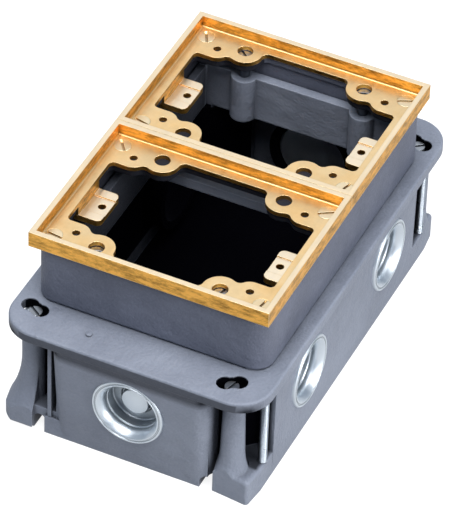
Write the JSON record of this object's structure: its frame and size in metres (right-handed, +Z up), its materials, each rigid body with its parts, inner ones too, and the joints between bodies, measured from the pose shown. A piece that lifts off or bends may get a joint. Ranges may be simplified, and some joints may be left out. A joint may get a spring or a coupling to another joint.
{
  "type": "floor socket box",
  "caption": "Cast-iron floor socket box: brass device frames on a height-adjustable riser, plugged conduit hubs and corner levelling screws.",
  "frame": {"origin": "on the resting plane, under the middle of the base", "axes": "+Z up out of the floor, +Y along the box from the front gang to the rear gang, +X across it to the right"},
  "size_m": [0.1216, 0.205, 0.0978],
  "materials": {
    "base_iron": "semi-gloss blue-grey enamel on sand-cast iron",
    "riser_iron": "darker grey enamel on sand-cast iron",
    "brass": "machined and brushed brass",
    "screw_brass": "bright turned brass",
    "zinc": "zinc-plated steel",
    "zinc_plug": "bright zinc",
    "clip_steel": "spring steel",
    "green_zinc": "green dyed zinc-plated steel"
  },
  "bodies": {
    "base": {"box_casting": "base_iron", "corner_post_rear_right": "zinc", "corner_post_front_right": "zinc", "corner_post_rear_left": "zinc", "corner_post_front_left": "zinc", "ground_screw": "green_zinc"},
    "riser": {"riser_casting": "riser_iron", "riser_screw_clips": "clip_steel"},
    "riser_screw_rear_right": {"riser_screw_rear_right": "zinc"},
    "riser_screw_front_right": {"riser_screw_front_right": "zinc"},
    "riser_screw_rear_left": {"riser_screw_rear_left": "zinc"},
    "riser_screw_front_left": {"riser_screw_front_left": "zinc"},
    "frame_rear": {"brass_frame_rear": "brass", "frame_screw_clips_rear": "clip_steel"},
    "frame_screw_rear_outer_right": {"frame_screw_rear_outer_right": "screw_brass"},
    "frame_screw_rear_inner_right": {"frame_screw_rear_inner_right": "screw_brass"},
    "frame_screw_rear_outer_left": {"frame_screw_rear_outer_left": "screw_brass"},
    "frame_screw_rear_inner_left": {"frame_screw_rear_inner_left": "screw_brass"},
    "frame_front": {"brass_frame_front": "brass", "frame_screw_clips_front": "clip_steel"},
    "frame_screw_front_outer_right": {"frame_screw_front_outer_right": "screw_brass"},
    "frame_screw_front_inner_right": {"frame_screw_front_inner_right": "screw_brass"},
    "frame_screw_front_outer_left": {"frame_screw_front_outer_left": "screw_brass"},
    "frame_screw_front_inner_left": {"frame_screw_front_inner_left": "screw_brass"},
    "levelling_screw_rear_right": {"levelling_screw_rear_right": "zinc"},
    "levelling_screw_front_right": {"levelling_screw_front_right": "zinc"},
    "levelling_screw_rear_left": {"levelling_screw_rear_left": "zinc"},
    "levelling_screw_front_left": {"levelling_screw_front_left": "zinc"},
    "plug_side_right_rear": {"plug_side_right_rear": "zinc_plug"},
    "plug_side_right_front": {"plug_side_right_front": "zinc_plug"},
    "plug_side_left_front": {"plug_side_left_front": "zinc_plug"},
    "plug_end_rear": {"plug_end_rear": "zinc_plug"},
    "plug_end_front": {"plug_end_front": "zinc_plug"}
  },
  "joints": [
    {"name": "riser_lift", "type": "slide", "parent": "base", "child": "riser", "axis": [0, 0, 1], "range_m": [0, 0.012]},
    {"name": "riser_screw_rear_right_turn", "type": "hinge", "parent": "riser", "child": "riser_screw_rear_right", "pos_m": [0.0286, 0.0729, 0.0885], "axis": [0, 0, 1], "range_deg": [0, 4083]},
    {"name": "riser_screw_front_right_turn", "type": "hinge", "parent": "riser", "child": "riser_screw_front_right", "pos_m": [0.0286, -0.0729, 0.0885], "axis": [0, 0, 1], "range_deg": [0, 4083]},
    {"name": "riser_screw_rear_left_turn", "type": "hinge", "parent": "riser", "child": "riser_screw_rear_left", "pos_m": [-0.0286, 0.0729, 0.0885], "axis": [0, 0, 1], "range_deg": [0, 4083]},
    {"name": "riser_screw_front_left_turn", "type": "hinge", "parent": "riser", "child": "riser_screw_front_left", "pos_m": [-0.0286, -0.0729, 0.0885], "axis": [0, 0, 1], "range_deg": [0, 4083]},
    {"name": "frame_rear_lift", "type": "slide", "parent": "riser", "child": "frame_rear", "axis": [0, 0, 1], "range_m": [0, 0.006]},
    {"name": "frame_screw_rear_outer_right_turn", "type": "hinge", "parent": "frame_rear", "child": "frame_screw_rear_outer_right", "pos_m": [0.0481, 0.074, 0.0924], "axis": [0, 0, 1], "range_deg": [0, 2722]},
    {"name": "frame_screw_rear_inner_right_turn", "type": "hinge", "parent": "frame_rear", "child": "frame_screw_rear_inner_right", "pos_m": [0.0481, 0.009, 0.0924], "axis": [0, 0, 1], "range_deg": [0, 2722]},
    {"name": "frame_screw_rear_outer_left_turn", "type": "hinge", "parent": "frame_rear", "child": "frame_screw_rear_outer_left", "pos_m": [-0.0481, 0.074, 0.0924], "axis": [0, 0, 1], "range_deg": [0, 2722]},
    {"name": "frame_screw_rear_inner_left_turn", "type": "hinge", "parent": "frame_rear", "child": "frame_screw_rear_inner_left", "pos_m": [-0.0481, 0.009, 0.0924], "axis": [0, 0, 1], "range_deg": [0, 2722]},
    {"name": "frame_front_lift", "type": "slide", "parent": "riser", "child": "frame_front", "axis": [0, 0, 1], "range_m": [0, 0.006]},
    {"name": "frame_screw_front_outer_right_turn", "type": "hinge", "parent": "frame_front", "child": "frame_screw_front_outer_right", "pos_m": [0.0481, -0.074, 0.0924], "axis": [0, 0, 1], "range_deg": [0, 2722]},
    {"name": "frame_screw_front_inner_right_turn", "type": "hinge", "parent": "frame_front", "child": "frame_screw_front_inner_right", "pos_m": [0.0481, -0.009, 0.0924], "axis": [0, 0, 1], "range_deg": [0, 2722]},
    {"name": "frame_screw_front_outer_left_turn", "type": "hinge", "parent": "frame_front", "child": "frame_screw_front_outer_left", "pos_m": [-0.0481, -0.074, 0.0924], "axis": [0, 0, 1], "range_deg": [0, 2722]},
    {"name": "frame_screw_front_inner_left_turn", "type": "hinge", "parent": "frame_front", "child": "frame_screw_front_inner_left", "pos_m": [-0.0481, -0.009, 0.0924], "axis": [0, 0, 1], "range_deg": [0, 2722]},
    {"name": "levelling_screw_rear_right_travel", "type": "slide", "parent": "base", "child": "levelling_screw_rear_right", "axis": [0, 0, -1], "range_m": [0, 0.02]},
    {"name": "levelling_screw_front_right_travel", "type": "slide", "parent": "base", "child": "levelling_screw_front_right", "axis": [0, 0, -1], "range_m": [0, 0.02]},
    {"name": "levelling_screw_rear_left_travel", "type": "slide", "parent": "base", "child": "levelling_screw_rear_left", "axis": [0, 0, -1], "range_m": [0, 0.02]},
    {"name": "levelling_screw_front_left_travel", "type": "slide", "parent": "base", "child": "levelling_screw_front_left", "axis": [0, 0, -1], "range_m": [0, 0.02]},
    {"name": "plug_side_right_rear_out", "type": "slide", "parent": "base", "child": "plug_side_right_rear", "axis": [1, 0, 0], "range_m": [0, 0.018]},
    {"name": "plug_side_right_front_out", "type": "slide", "parent": "base", "child": "plug_side_right_front", "axis": [1, 0, 0], "range_m": [0, 0.018]},
    {"name": "plug_side_left_front_out", "type": "slide", "parent": "base", "child": "plug_side_left_front", "axis": [-1, 0, 0], "range_m": [0, 0.018]},
    {"name": "plug_end_rear_out", "type": "slide", "parent": "base", "child": "plug_end_rear", "axis": [0, 1, 0], "range_m": [0, 0.018]},
    {"name": "plug_end_front_out", "type": "slide", "parent": "base", "child": "plug_end_front", "axis": [0, -1, 0], "range_m": [0, 0.018]}
  ],
  "couplings": [
    {"joint": "riser_screw_rear_right_turn", "follows": "riser_lift", "rad_per_m": 5936.9},
    {"joint": "riser_screw_front_right_turn", "follows": "riser_lift", "rad_per_m": 5936.9},
    {"joint": "riser_screw_rear_left_turn", "follows": "riser_lift", "rad_per_m": 5936.9},
    {"joint": "riser_screw_front_left_turn", "follows": "riser_lift", "rad_per_m": 5936.9},
    {"joint": "frame_screw_rear_outer_right_turn", "follows": "frame_rear_lift", "rad_per_m": 7915.8},
    {"joint": "frame_screw_rear_inner_right_turn", "follows": "frame_rear_lift", "rad_per_m": 7915.8},
    {"joint": "frame_screw_rear_outer_left_turn", "follows": "frame_rear_lift", "rad_per_m": 7915.8},
    {"joint": "frame_screw_rear_inner_left_turn", "follows": "frame_rear_lift", "rad_per_m": 7915.8},
    {"joint": "frame_screw_front_outer_right_turn", "follows": "frame_front_lift", "rad_per_m": 7915.8},
    {"joint": "frame_screw_front_inner_right_turn", "follows": "frame_front_lift", "rad_per_m": 7915.8},
    {"joint": "frame_screw_front_outer_left_turn", "follows": "frame_front_lift", "rad_per_m": 7915.8},
    {"joint": "frame_screw_front_inner_left_turn", "follows": "frame_front_lift", "rad_per_m": 7915.8}
  ]
}
